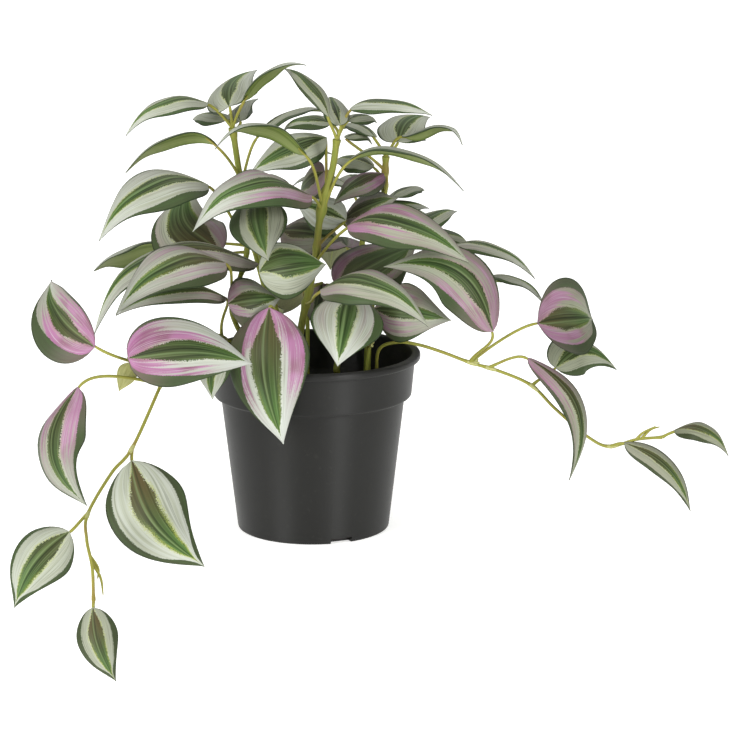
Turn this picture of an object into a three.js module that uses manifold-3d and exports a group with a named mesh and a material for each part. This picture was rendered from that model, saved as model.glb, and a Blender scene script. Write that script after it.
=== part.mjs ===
import * as THREE from 'three';
import { mergeVertices } from 'three/addons/utils/BufferGeometryUtils.js';
import Module from 'manifold-3d';

// A trailing striped-leaf plant in a black nursery pot, in millimetres.
// The origin is the middle of the pot's foot, +Z is up and the front is towards -Y.

const wasm = await Module();
wasm.setup();

// pot
const rimRadius = 45.6;
const potHeight = 76;
const collarTopRadius = 43.3;
const collarFootRadius = 41.9;
const collarFoot = 58.6;
const bodyTopRadius = 38.9;
const footRadius = 32.2;
const wall = 1.3;
const floorThickness = 1.4;
const potSides = 44;
const notchWidth = 9.4;
const notchHeight = 2.4;
const notchDepth = 4;
const notchTurn = 22.5;
const notchCount = 3;

// soil
const fitGap = 0.3;
const soilEdge = 54.8;
const soilMiddle = 57.5;
const stemEnd = 36;
const stemClear = 64;
const holeSides = 12;

// stems, petioles and leaf blades
const stemSides = 6;
const petioleSides = 4;
const petioleRadius = 0.6;
const sproutRadius = 0.6;
const bladeThickness = 0.8;
const baseFullness = 0.58;
const tipSharpness = 1.1;
const usualLead = 1.05;
const archFullness = 0.08;
const usualCup = 24;
const petioleGrip = 0.055;
const petioleBend = 0.35;
const petioleRise = 0.06;
const petioleRunIn = 0.28;
const stations = [0, 0.06, 0.18, 0.38, 0.62, 0.84, 1];
const facetTolerance = 0.03;
const stemStep = 10;
const petioleStep = 7;

// Every stem has a foot in the soil, the points it runs through and its leaves.
// A leaf leaves its stem at a numbered point (2.5 is half way from point 2 to point 3) and lies
// from root to tip with its upper side towards face. wide is its width, arch its rise, lead how
// far along it rises most, cup the angle its two halves hang by, sway its sideways bend and via
// the point its petiole bends towards.
const stems = {
  centre_tall_stem: {
    foot: [-6, 2],
    radius: 1.7,
    route: [[-5, 1, 85], [1, -1, 114], [3.5, -2, 135], [8.5, -3, 154], [10.5, -4, 167]],
    leaves: [
      {
        from: 4, root: [7, -6, 177], tip: [-12, 16, 194],
        face: [1, -2, 1], wide: 10, arch: 6, lead: 0.8,
      },
      { from: 4, root: [12, -3, 173], tip: [7, 22, 181], face: [0, -1, 1], wide: 12, arch: 3 },
      {
        from: 4, root: [16, 2, 179], tip: [50, -10, 178],
        face: [0, -1, 3], wide: 15, arch: 5, lead: 0.85,
      },
      { from: 4, root: [15, 3, 174], tip: [27, 22, 170], face: [0, -1, 2], wide: 11, arch: 3 },
      { from: 2.2, root: [-2, -12, 162], tip: [-39, -30, 167], face: [0, 1, 2], wide: 15, arch: 12 },
      { from: 2.2, root: [8, 14, 171], tip: [-13, 34, 164], face: [0, -1, 2], wide: 14, arch: 5 },
      { from: 2.5, root: [6, 14, 165], tip: [-26, -2, 152], face: [0, -1, 1], wide: 21, arch: 5 },
      { from: 2.4, root: [5, 12, 151], tip: [-5, 30, 138], face: [-1, -2, 1], wide: 18, arch: 3 },
      {
        from: 2, root: [16, -6, 159], tip: [63, -14, 147],
        face: [0, 1, 3], wide: 14, arch: 10, lead: 0.85,
      },
      {
        from: 2.1, root: [0, -13, 145], tip: [-48, -36, 134],
        face: [0, -1, 2], wide: 30, arch: 15, cup: 14, lead: 1.15,
      },
      {
        from: 1, root: [15, -18, 133], tip: [65, -36, 121],
        face: [0, -3, 4], wide: 26, arch: 12, cup: 14, lead: 0.9,
      },
      { from: 1, root: [-21, -37, 117], tip: [6, -19, 117], face: [0, -3, 1], wide: 27, arch: 4 },
      {
        from: 0.4, via: [3, -22, 103], root: [4, -37, 110], tip: [48, -58, 99],
        face: [0, -2, 3], wide: 24, arch: 15,
      },
      { from: 1.3, root: [14, 12, 130], tip: [-7, 21, 135], face: [0, -1, 1], wide: 22, arch: 3 },
      { from: 0.6, root: [4, 8, 104], tip: [0, 11, 84], face: [0, -1, 0], wide: 15, arch: 2 },
    ],
    sprouts: [],
  },
  left_tall_stem: {
    foot: [-10, 13],
    radius: 1.6,
    route: [[-14, 18, 81], [-23, 24, 115], [-30, 24, 141], [-34, 22, 168]],
    leaves: [
      { from: 3, root: [-44, 18, 179], tip: [-78, 6, 167], face: [0, -3, 6], wide: 14, arch: 9 },
      {
        from: 3, root: [-35, 16, 178], tip: [-24, 40, 190],
        face: [-2, -3, 3], wide: 26, arch: 3, sway: -5,
      },
      { from: 3, root: [-29, 12, 181], tip: [-2, -4, 198], face: [-1, 1, 3], wide: 12, arch: 6 },
      {
        from: 2.9, root: [-31, 28, 170], tip: [-24, 52, 176],
        face: [-1, -1, 3], wide: 13, arch: 2, sway: -4,
      },
      { from: 2.9, root: [-36, 26, 171], tip: [-52, 44, 168], face: [0, -1, 5], wide: 17, arch: 3 },
      {
        from: 2.2, root: [-40, 12, 162], tip: [-78, 2, 152],
        face: [0, 2, 3], wide: 13, arch: 9.5, lead: 0.75,
      },
      { from: 2.1, root: [-24, 23, 164], tip: [7, 44, 171], face: [0, 1, 3], wide: 16, arch: 6 },
      {
        from: 1.6, root: [-22, -14, 146], tip: [-17, -46, 124],
        face: [0, -3, 1], wide: 27, arch: 3, sway: 2,
      },
      { from: 1.1, root: [-14, 26, 123], tip: [12, 13, 121], face: [0, -1, 1], wide: 32, arch: 4 },
    ],
    sprouts: [],
  },
  right_tall_stem: {
    foot: [23, 13],
    radius: 1.6,
    route: [[24, 18, 85], [28, 25, 112], [30, 27, 134], [31, 26, 155]],
    leaves: [
      { from: 3, root: [26, 24, 164], tip: [11, 42, 164], face: [0, 1, 3], wide: 14, arch: 4 },
      {
        from: 3, root: [36, 22, 162], tip: [50, 45, 169],
        face: [-1, -4, 3], wide: 24, arch: 3, sway: -4,
      },
      { from: 3, root: [38, 20, 165], tip: [63, 6, 163], face: [0, 1, 3], wide: 12, arch: 7, lead: 1.7 },
      { from: 2, root: [34, 42, 135], tip: [48, 62, 134], face: [0, 1, 5], wide: 15, arch: 3 },
      { from: 1.9, root: [23, 38, 131], tip: [50, 57, 127], face: [0, -1, 3], wide: 17, arch: 3 },
      { from: 1.6, root: [42, 32, 121], tip: [62, 49, 127], face: [0, -1, 3], wide: 15, arch: 4 },
      { from: 1.3, root: [44, 30, 119], tip: [68, 42, 110], face: [0, -1, 3], wide: 19, arch: 7 },
      { from: 2, root: [30, 18, 149], tip: [9, 5, 138], face: [-1, -2, 2], wide: 17, arch: 4 },
      { from: 2.7, root: [14, 20, 164], tip: [25, 34, 159], face: [0, -1, 3], wide: 9, arch: 3 },
      { from: 2.4, root: [26, 36, 149], tip: [8, 44, 149], face: [0, -1, 3], wide: 18, arch: 4 },
      { from: 1.2, root: [13, 19, 129], tip: [36, 10, 140], face: [0, -1, 1], wide: 23, arch: 3 },
      { from: 1.1, root: [58, 22, 117], tip: [94, 6, 106], face: [0, -2, 5], wide: 11, arch: 8 },
      { from: 0.8, root: [72, 20, 103], tip: [97, -6, 98], face: [0, 1, 3], wide: 15, arch: 6 },
    ],
    sprouts: [],
  },
  low_left_stem: {
    foot: [-18, 1],
    radius: 1.2,
    route: [[-26, -8, 79], [-32, -16, 92], [-33, -18, 101], [-28, -8, 116], [-27, -6, 124]],
    leaves: [
      {
        from: 4, via: [-31, -12, 129], root: [-43, -10, 149], tip: [-87, -30, 129],
        face: [0, -1, 2], wide: 29, arch: 14, cup: 14, lead: 1,
      },
      {
        from: 3.4, root: [-38, -6, 120], tip: [-52, 26, 142],
        face: [0, -4, 3], wide: 36, arch: 3, sway: -10,
      },
      { from: 2.8, root: [-22, -17, 117], tip: [-90, -27, 89], face: [0, -1, 3], wide: 27, arch: 24 },
      {
        from: 2, root: [-35, -35, 121], tip: [-78, -62, 105],
        face: [0, -3, 4], wide: 28, arch: 14, cup: 14, lead: 1.1,
      },
    ],
    sprouts: [],
  },
  front_left_stem: {
    foot: [-7, -9],
    radius: 1.1,
    route: [[-9, -20, 80], [-13, -30, 97]],
    leaves: [
      {
        from: 1, root: [-17, -39, 103], tip: [-11, -57, 50],
        face: [-1, -8, 2], wide: 38, arch: 6, sway: 3,
      },
      { from: 0.6, root: [-34, -36, 104], tip: [-13, -26, 104], face: [0, -5, 3], wide: 27, arch: 3 },
    ],
    sprouts: [],
  },
  front_right_stem: {
    foot: [22, -9],
    radius: 1.1,
    route: [[23, -11, 74], [24, -14, 86], [21, -16, 96]],
    leaves: [
      { from: 2, root: [17, -25, 107], tip: [11, -46, 80], face: [0, -2, 1], wide: 34, arch: 4 },
      { from: 1, root: [26, -12, 97], tip: [58, -22, 94], face: [0, -3, 1], wide: 28, arch: 7 },
      { from: 2, root: [10, -8, 106], tip: [44, 12, 119], face: [-1, -4, 3], wide: 34, arch: 3 },
    ],
    sprouts: [],
  },
  right_trailing_stem: {
    foot: [27, -4],
    radius: 0.75,
    route: [
      [28, -11, 79], [36, -14, 83], [45, -15, 82], [55, -16, 79], [66, -17, 75], [79, -17, 71],
      [92, -17, 65], [102, -17, 55], [116, -18, 43], [125, -18, 39], [136, -18, 42], [147, -18, 43],
    ],
    leaves: [
      {
        from: 4, root: [75, -30, 91], tip: [30, -24, 117],
        face: [2, -5, 3], wide: 29, arch: 9, cup: 16, sway: 11,
      },
      { from: 4, root: [94, -18, 92], tip: [119, 14, 87], face: [6, -7, 4], wide: 36, arch: 3, cup: -20 },
      {
        from: 4.6, root: [90, -22, 78], tip: [107, -36, 29],
        face: [4, -5, 2], wide: 14, arch: 6, sway: -12,
      },
      { from: 6, root: [102, -14, 72], tip: [129, 4, 67], face: [1, -2, 2], wide: 22, arch: 3, sway: -8 },
      {
        from: 9, root: [131, -20, 41], tip: [158, -33, 15],
        face: [1, -3, 2], wide: 12, arch: 3, sway: -5,
      },
      { from: 11, root: [152, -18, 46], tip: [174, -26, 37], face: [0, -3, 4], wide: 12, arch: 9 },
    ],
    sprouts: [
      { from: 10, through: [[139, -18, 45], [144, -19, 48]] },
      { from: 10.2, through: [[142, -17, 46], [146, -16, 47]] },
    ],
  },
  left_trailing_stem: {
    foot: [-20, -9],
    radius: 0.75,
    route: [
      [-29, -16, 81], [-36, -22, 86], [-41, -30, 90], [-49, -46, 91], [-55, -66, 88], [-59, -88, 81],
      [-68, -118, 64], [-75, -134, 58], [-82, -160, 49], [-81, -177, 44], [-78, -190, 37], [-77, -198, 27],
    ],
    leaves: [
      {
        from: 4.7, root: [-70, -106, 97], tip: [-23, -72, 87],
        face: [0, -3, 1], wide: 31, arch: 3, sway: -4,
      },
      {
        from: 4.7, root: [-83, -104, 101], tip: [-102, -76, 122],
        face: [-4, -5, 1], wide: 30, arch: 6, cup: -20, sway: -2,
      },
      {
        from: 4.9, root: [-90, -104, 85], tip: [-85, -130, 44],
        face: [-3, -5, 1], wide: 26, arch: 6, sway: 10,
      },
      {
        from: 6, root: [-68, -122, 60], tip: [-39, -145, 24],
        face: [1, -5, 1], wide: 35, arch: 3, sway: 6,
      },
      {
        from: 8, root: [-88, -170, 45], tip: [-108, -182, 19],
        face: [-1, -5, 1], wide: 24, arch: 3, sway: 3,
      },
      {
        from: 11, root: [-77, -201, 25], tip: [-68, -214, 1],
        face: [0, -3, 1], wide: 17, arch: 2, sway: 2, lead: 1.3,
      },
      { from: 4.6, root: [-70, -88, 91], tip: [-75, -90, 80], face: [0, -3, 1], wide: 9, arch: 1 },
      { from: 1, root: [-39, -42, 86], tip: [-40, -50, 67], face: [-1, -2, 1], wide: 17, arch: 3 },
      {
        from: 1.2, via: [-39, -25, 96], root: [-35, -24, 104], tip: [-79, -50, 102],
        face: [0, -2, 3], wide: 14, arch: 9,
      },
    ],
    sprouts: [
      { from: 9.8, through: [[-75, -190, 33], [-74, -192, 27]] },
      { from: 9.6, through: [[-76, -188, 36], [-76, -191, 33]] },
    ],
  },
  back_left_stem: {
    foot: [-13, 24],
    radius: 1.5,
    route: [[-18, 35, 84], [-26, 46, 112], [-30, 52, 138]],
    leaves: [
      { from: 2, root: [-24, 62, 139], tip: [-14, 90, 128], face: [0, 0, 1], wide: 18, arch: 5 },
      { from: 1.9, root: [-21, 54, 147], tip: [8, 62, 150], face: [0, 0, 1], wide: 16, arch: 5 },
      { from: 1, root: [-64, 40, 115], tip: [-94, 22, 106], face: [0, 3, 4], wide: 23, arch: 4 },
      { from: 1, root: [-25, 61, 120], tip: [-24, 102, 102], face: [0, 0, 1], wide: 24, arch: 9 },
      { from: 0.3, root: [-24, 52, 88], tip: [-26, 84, 62], face: [0, 0, 1], wide: 24, arch: 6 },
    ],
    sprouts: [],
  },
  back_right_stem: {
    foot: [10, 26],
    radius: 1.5,
    route: [[15, 40, 84], [20, 54, 106], [22, 62, 126]],
    leaves: [
      { from: 2, root: [31, 70, 126], tip: [54, 84, 112], face: [0, 0, 1], wide: 19, arch: 5 },
      { from: 2, root: [20, 74, 135], tip: [12, 105, 126], face: [0, 0, 1], wide: 19, arch: 6 },
      { from: 1.8, root: [14, 66, 136], tip: [-10, 74, 134], face: [0, 0, 1], wide: 15, arch: 5 },
      { from: 1, root: [31, 60, 112], tip: [60, 76, 98], face: [0, 0, 1], wide: 24, arch: 9 },
      { from: 1, root: [14, 68, 108], tip: [6, 106, 90], face: [0, 0, 1], wide: 30, arch: 9 },
      { from: 0.2, root: [28, 46, 92], tip: [44, 70, 68], face: [0, 0, 1], wide: 26, arch: 8 },
    ],
    sprouts: [],
  },
  back_low_stem: {
    foot: [-3, 31],
    radius: 1.1,
    route: [[-3, 42, 80], [-4, 48, 91]],
    leaves: [
      { from: 1, root: [-11, 55, 96], tip: [-27, 86, 66], face: [0, 1, 2], wide: 31, arch: 7 },
      { from: 0.8, root: [5, 55, 94], tip: [18, 88, 64], face: [0, 1, 2], wide: 27, arch: 7 },
    ],
    sprouts: [],
  },
};

const degrees = Math.PI / 180;

function solidFrom(geometry) {
  const bare = geometry.clone();
  bare.deleteAttribute('normal');
  bare.deleteAttribute('uv');
  const merged = mergeVertices(bare, 1e-4);
  const mesh = new wasm.Mesh({
    numProp: 3,
    vertProperties: Float32Array.from(merged.attributes.position.array),
    triVerts: Uint32Array.from(merged.index.array),
  });
  return new wasm.Manifold(mesh);
}

function geometryFrom(solid) {
  const mesh = solid.getMesh();
  const geometry = new THREE.BufferGeometry();
  geometry.setAttribute('position', new THREE.BufferAttribute(mesh.vertProperties, 3));
  geometry.setIndex(new THREE.BufferAttribute(mesh.triVerts, 1));
  geometry.computeVertexNormals();
  return geometry;
}

// The largest body of a fused solid; loose scraps where two surfaces graze are dropped.
function mainBody(solid) {
  const bodies = solid.decompose();
  bodies.sort((a, b) => b.volume() - a.volume());
  return bodies[0];
}

function turned(points, sides) {
  const profile = points.map(([x, y]) => new THREE.Vector2(x, y));
  const lathe = new THREE.LatheGeometry(profile, sides);
  lathe.rotateX(90 * degrees);
  return solidFrom(lathe);
}

function curveThrough(points) {
  const vectors = points.map((point) => new THREE.Vector3(...point));
  return new THREE.CatmullRomCurve3(vectors, false, 'catmullrom', 0.5);
}

// A rod of even thickness along a curve.
function rod(curve, radius, sides, stepLength) {
  const steps = Math.max(2, Math.round(curve.getLength() / stepLength));
  const outline = [];
  for (let i = 0; i < sides; i += 1) {
    const angle = 360 * degrees * i / sides;
    outline.push(new THREE.Vector2(radius * Math.cos(angle), radius * Math.sin(angle)));
  }
  const geometry = new THREE.ExtrudeGeometry(new THREE.Shape(outline), {
    steps: steps,
    bevelEnabled: false,
    extrudePath: curve,
  });
  return solidFrom(geometry);
}

// The frame of a leaf: where it starts, its direction, its upper side and its midrib.
function leafFrame(leaf) {
  const root = new THREE.Vector3(...leaf.root);
  const along = new THREE.Vector3(...leaf.tip).sub(root);
  const length = along.length();
  along.normalize();
  const up = new THREE.Vector3(...leaf.face);
  up.addScaledVector(along, -up.dot(along)).normalize();
  const side = new THREE.Vector3().crossVectors(along, up);
  const sway = leaf.sway ?? 0;
  const lead = leaf.lead ?? usualLead;
  const midrib = (t) => {
    const point = root.clone();
    point.addScaledVector(along, length * t);
    const turn = Math.PI * Math.pow(t, lead);
    const rise = (Math.sin(turn) + archFullness * Math.sin(3 * turn)) / (1 - archFullness);
    point.addScaledVector(up, leaf.arch * rise);
    point.addScaledVector(side, sway * Math.sin(Math.PI * t));
    return point;
  };
  return { length, side, midrib };
}

// Half the width of a blade: full near the base and drawn out to a point.
function halfWidth(t, wide) {
  const widest = baseFullness / (baseFullness + tipSharpness);
  const shape = (s) => Math.pow(s, baseFullness) * Math.pow(1 - s, tipSharpness);
  return Math.max(wide / 2 * shape(t) / shape(widest), 0.35);
}

// A blade of even thickness, split alike on its upper and lower face.
function blade(leaf) {
  const { side, midrib } = leafFrame(leaf);
  const cup = (leaf.cup ?? usualCup) * degrees;
  const step = 0.01;
  const points = [];
  for (const t of stations) {
    const forward = midrib(Math.min(1, t + step)).sub(midrib(Math.max(0, t - step))).normalize();
    const normal = new THREE.Vector3().crossVectors(side, forward).normalize();
    const across = new THREE.Vector3().crossVectors(forward, normal);
    const half = halfWidth(t, leaf.wide);
    for (const level of [1, -1]) {
      for (const u of [-1, 0, 1]) {
        const point = midrib(t);
        point.addScaledVector(across, half * u * Math.cos(cup));
        point.addScaledVector(normal, -half * Math.abs(u) * Math.sin(cup));
        point.addScaledVector(normal, level * bladeThickness / 2);
        points.push(point.x, point.y, point.z);
      }
    }
  }
  const ring = 6;
  const faces = [];
  const quad = (a, b, c, d) => faces.push(a, b, c, a, c, d);
  for (let i = 0; i < stations.length - 1; i += 1) {
    const near = i * ring;
    const far = near + ring;
    quad(near, near + 1, far + 1, far);
    quad(near + 1, near + 2, far + 2, far + 1);
    faces.push(near + 3, far + 4, near + 4, near + 3, far + 3, far + 4);
    faces.push(near + 4, far + 5, near + 5, near + 4, far + 4, far + 5);
    quad(near + 2, near + 5, far + 5, far + 2);
    quad(near + 3, near, far, far + 3);
  }
  const last = (stations.length - 1) * ring;
  quad(0, 3, 4, 1);
  quad(1, 4, 5, 2);
  quad(last, last + 1, last + 4, last + 3);
  quad(last + 1, last + 2, last + 5, last + 4);
  const geometry = new THREE.BufferGeometry();
  geometry.setAttribute('position', new THREE.BufferAttribute(new Float32Array(points), 3));
  geometry.setIndex(faces);
  return solidFrom(geometry);
}

function stemCurve(stem) {
  const [x, y] = stem.foot;
  return curveThrough([[x, y, stemEnd], [x, y, soilMiddle + 2], [x, y, stemClear], ...stem.route]);
}

// A numbered point of the route, after the three points of the planted part.
function stemPoint(stem, number) {
  const count = stem.route.length + 3;
  return stemCurve(stem).getPoint((number + 3) / (count - 1));
}

// A petiole leaves its stem rising a little and runs into the blade along the midrib.
function petiole(stem, leaf) {
  const { midrib } = leafFrame(leaf);
  const start = stemPoint(stem, leaf.from);
  const end = midrib(petioleGrip);
  const forward = midrib(petioleGrip).sub(midrib(0)).normalize();
  const run = end.clone().sub(start);
  const reach = run.length();
  const first = start.clone().addScaledVector(run, petioleBend);
  first.z += petioleRise * reach;
  const last = forward.dot(run) > 0
    ? end.clone().addScaledVector(forward, -petioleRunIn * reach)
    : end.clone().addScaledVector(run, -1 / 3);
  const bend = leaf.via ? new THREE.Vector3(...leaf.via) : first;
  const curve = new THREE.CubicBezierCurve3(start, bend, last, end);
  return rod(curve, petioleRadius, petioleSides, petioleStep);
}

function leafyStem(stem) {
  const parts = [rod(stemCurve(stem), stem.radius, stemSides, stemStep)];
  for (const leaf of stem.leaves) {
    parts.push(petiole(stem, leaf));
    parts.push(blade(leaf));
  }
  for (const sprout of stem.sprouts) {
    const start = stemPoint(stem, sprout.from).toArray();
    parts.push(rod(curveThrough([start, ...sprout.through]), sproutRadius, petioleSides, petioleStep));
  }
  return mainBody(wasm.Manifold.union(parts).simplify(facetTolerance));
}

function potSolid() {
  const lipFoot = potHeight - 3;
  const inside = footRadius - wall;
  const shell = turned([
    [0, 0],
    [footRadius - 1, 0],
    [footRadius - 0.3, 0.3],
    [footRadius, 1],
    [bodyTopRadius, collarFoot - 2.2],
    [bodyTopRadius + 0.5, collarFoot - 1.5],
    [collarFootRadius - 0.7, collarFoot - 1],
    [collarFootRadius, collarFoot],
    [collarTopRadius, lipFoot],
    [rimRadius - 0.7, lipFoot + 0.2],
    [rimRadius, lipFoot + 1],
    [rimRadius, potHeight - 1],
    [rimRadius - 0.9, potHeight],
    [collarTopRadius - 0.4, potHeight],
    [collarTopRadius - wall, potHeight - 1],
    [collarTopRadius - wall, lipFoot],
    [collarFootRadius - wall, collarFoot + 0.4],
    [bodyTopRadius - wall, collarFoot - 1.4],
    [bodyTopRadius - wall, collarFoot - 2.2],
    [inside, floorThickness],
    [0, floorThickness],
  ], potSides);
  let pot = shell;
  for (let i = 0; i < notchCount; i += 1) {
    const cutter = new THREE.BoxGeometry(notchWidth, 2 * notchDepth, 2 * notchHeight);
    cutter.translate(0, -footRadius, 0);
    cutter.rotateZ((notchTurn + i * 360 / notchCount) * degrees);
    pot = pot.subtract(solidFrom(cutter));
  }
  return mainBody(pot);
}

function soilSolid() {
  const slope = (bodyTopRadius - footRadius) / (collarFoot - 2.2 - 1);
  const foot = floorThickness + fitGap;
  const lowRadius = footRadius - wall - fitGap;
  const edgeRadius = lowRadius + (soilEdge - foot) * slope;
  let soil = turned([
    [0, foot],
    [lowRadius, foot],
    [edgeRadius, soilEdge],
    [edgeRadius - 3, soilEdge + 1.2],
    [0, soilMiddle],
  ], potSides);
  for (const stem of Object.values(stems)) {
    const radius = (stem.radius + fitGap) / Math.cos(180 * degrees / holeSides);
    const hole = new THREE.CylinderGeometry(radius, radius, 2 * (soilMiddle - stemEnd), holeSides);
    hole.rotateX(90 * degrees);
    hole.translate(stem.foot[0], stem.foot[1], stemEnd - fitGap + soilMiddle - stemEnd);
    soil = soil.subtract(solidFrom(hole));
  }
  return mainBody(soil);
}

const colours = { pot: '#2b2b2a', soil: '#2a211a', plant: '#6f8a55' };

function node(name, solid, colour) {
  const material = new THREE.MeshStandardMaterial({ color: colour, roughness: 0.5, metalness: 0 });
  material.name = name;
  const mesh = new THREE.Mesh(geometryFrom(solid), material);
  mesh.name = name;
  return mesh;
}

const plant = new THREE.Group();
plant.name = 'potted_tradescantia';
plant.add(node('pot', potSolid(), colours.pot));
plant.add(node('soil', soilSolid(), colours.soil));
for (const [name, stem] of Object.entries(stems)) {
  plant.add(node(name, leafyStem(stem), colours.plant));
}

export default plant;
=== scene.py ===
import math

import bpy
import numpy as np
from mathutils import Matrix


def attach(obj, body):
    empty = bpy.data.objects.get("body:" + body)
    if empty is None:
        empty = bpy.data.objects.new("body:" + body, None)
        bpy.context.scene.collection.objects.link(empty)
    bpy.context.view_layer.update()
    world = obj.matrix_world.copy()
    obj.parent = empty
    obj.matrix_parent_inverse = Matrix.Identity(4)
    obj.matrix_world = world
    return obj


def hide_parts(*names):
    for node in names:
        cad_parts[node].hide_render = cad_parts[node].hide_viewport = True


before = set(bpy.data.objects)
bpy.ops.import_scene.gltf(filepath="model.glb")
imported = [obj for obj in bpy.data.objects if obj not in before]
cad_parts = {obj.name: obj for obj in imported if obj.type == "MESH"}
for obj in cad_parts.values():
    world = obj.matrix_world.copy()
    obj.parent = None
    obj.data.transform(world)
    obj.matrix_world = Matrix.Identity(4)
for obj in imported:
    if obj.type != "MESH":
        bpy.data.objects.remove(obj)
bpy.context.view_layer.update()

scene = bpy.context.scene
millimetre = 0.001
chance = np.random.default_rng(11)  # the one source of chance, so every run is the same
print("frame loaded:", len(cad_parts), "solids")


# Shader sockets that take part in sums, and one way to add any other node.

def addNode(tree, kind, settings=None, inputs=None, output=0):
    node = tree.nodes.new(kind)
    for name, value in (settings or {}).items():
        setattr(node, name, value)
    for name, value in (inputs or {}).items():
        if isinstance(value, Wire):
            tree.links.new(value.socket, node.inputs[name])
        else:
            node.inputs[name].default_value = value
    return Wire(tree, node.outputs[output]) if node.outputs else None


class Wire:
    def __init__(self, tree, socket):
        self.tree = tree
        self.socket = socket

    def maths(self, operation, first, second=0.0):
        return addNode(self.tree, "ShaderNodeMath", {"operation": operation}, {0: first, 1: second})

    def __add__(self, other):
        return self.maths("ADD", self, other)

    __radd__ = __add__

    def __sub__(self, other):
        return self.maths("SUBTRACT", self, other)

    def __rsub__(self, other):
        return self.maths("SUBTRACT", other, self)

    def __mul__(self, other):
        return self.maths("MULTIPLY", self, other)

    __rmul__ = __mul__

    def __abs__(self):
        return self.maths("ABSOLUTE", self)

    def step(self, low, high):  # 0 below low, 1 above high, smooth between
        return addNode(self.tree, "ShaderNodeMapRange", {"interpolation_type": "SMOOTHSTEP"},
                       {"Value": self, "From Min": low, "From Max": high})

    def parts(self):
        node = addNode(self.tree, "ShaderNodeSeparateXYZ", {}, {0: self}).socket.node
        return [Wire(self.tree, socket) for socket in node.outputs]


def paint(code):  # a screen colour as "#rrggbb", made linear
    values = [int(code[i:i + 2], 16) / 255 for i in (1, 3, 5)]
    return tuple(v / 12.92 if v < 0.04045 else ((v + 0.055) / 1.055) ** 2.4 for v in values) + (1,)


class Finish:  # one material and its nodes; its colours go by their names in the piece's settings
    def __init__(self, name, settings):
        self.material = bpy.data.materials.new(name)
        self.material.use_nodes = True
        self.tree = self.material.node_tree
        self.tree.nodes.clear()
        self.tones = {key: paint(value) for key, value in settings.items() if str(value).startswith("#")}

    def node(self, kind, settings=None, inputs=None, output=0):
        return addNode(self.tree, kind, settings, inputs, output)

    def mix(self, mask, *pair):  # two colours, each a name, a socket or four numbers
        first, second = (self.tones.get(colour, colour) for colour in pair)
        return self.node("ShaderNodeMix", {"data_type": "RGBA"}, {0: mask, 6: first, 7: second}, 2)

    def vector(self, x, y, z):
        return self.node("ShaderNodeCombineXYZ", {}, {0: x, 1: y, 2: z})

    def noise(self, place, scale, detail=2.0):
        return self.node("ShaderNodeTexNoise", {}, {"Vector": place, "Scale": scale, "Detail": detail})

    def carried(self, name):  # three numbers that the mesh carries at each point
        return self.node("ShaderNodeAttribute", {"attribute_name": name}, {}, "Vector").parts()

    def spot(self):
        return self.node("ShaderNodeTexCoord", {}, {}, "Object")

    def run(self):  # how far along and across the surface, from the mesh's own layer
        return self.node("ShaderNodeUVMap", {"uv_map": "run"}).parts()[:2]

    def cover(self, colour, roughness, height, bump, specular=0.5, **constants):
        depth, strength = bump  # the depth is in metres
        normal = self.node("ShaderNodeBump", {}, {"Height": height, "Distance": depth, "Strength": strength})
        inputs = {name.replace("_", " "): value for name, value in constants.items()}
        inputs.update({"Base Color": colour, "Roughness": roughness, "Normal": normal,
                       "Specular IOR Level": specular})
        surface = self.node("ShaderNodeBsdfPrincipled", {}, inputs)
        self.node("ShaderNodeOutputMaterial", {}, {"Surface": surface})
        return self.material


# Curves and meshes, worked out in millimetres.

boxFaces = [(0, 1, 3, 2), (4, 6, 7, 5), (0, 4, 5, 1), (2, 3, 7, 6), (0, 2, 6, 4), (1, 5, 7, 3)]
tubeStart = (0.3, 0.9, 0.2)  # any direction that no tube sets out in
tubeRun = 100  # millimetres of tube to one unit of its run


def boxCorners(xs, ys, zs):
    return np.array([(x, y, z) for x in xs for y in ys for z in zs], float)


def lengthsAlong(path):
    return np.concatenate([[0], np.cumsum(np.linalg.norm(np.diff(path, axis=0), axis=1))])


def unit(vector):
    return vector / np.linalg.norm(vector)


def units(vectors):
    return vectors / np.linalg.norm(vectors, axis=1)[:, None]


class Curve:  # runs smoothly through its points
    def __init__(self, points):
        inner = np.array(points, float)
        first = 2 * inner[0] - inner[1]
        last = 2 * inner[-1] - inner[-2]
        self.points = np.vstack([first, inner, last])
        self.spans = len(inner) - 1

    def at(self, t):
        place = np.clip(np.asarray(t, float), 0, 1) * self.spans
        span = np.minimum(place.astype(int), self.spans - 1)
        f = (place - span)[..., None]
        a, b, c, d = (self.points[span + k] for k in range(4))
        return b + 0.5 * f * (c - a + f * (2 * a - 5 * b + 4 * c - d + f * (3 * (b - c) + d - a)))


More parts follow.
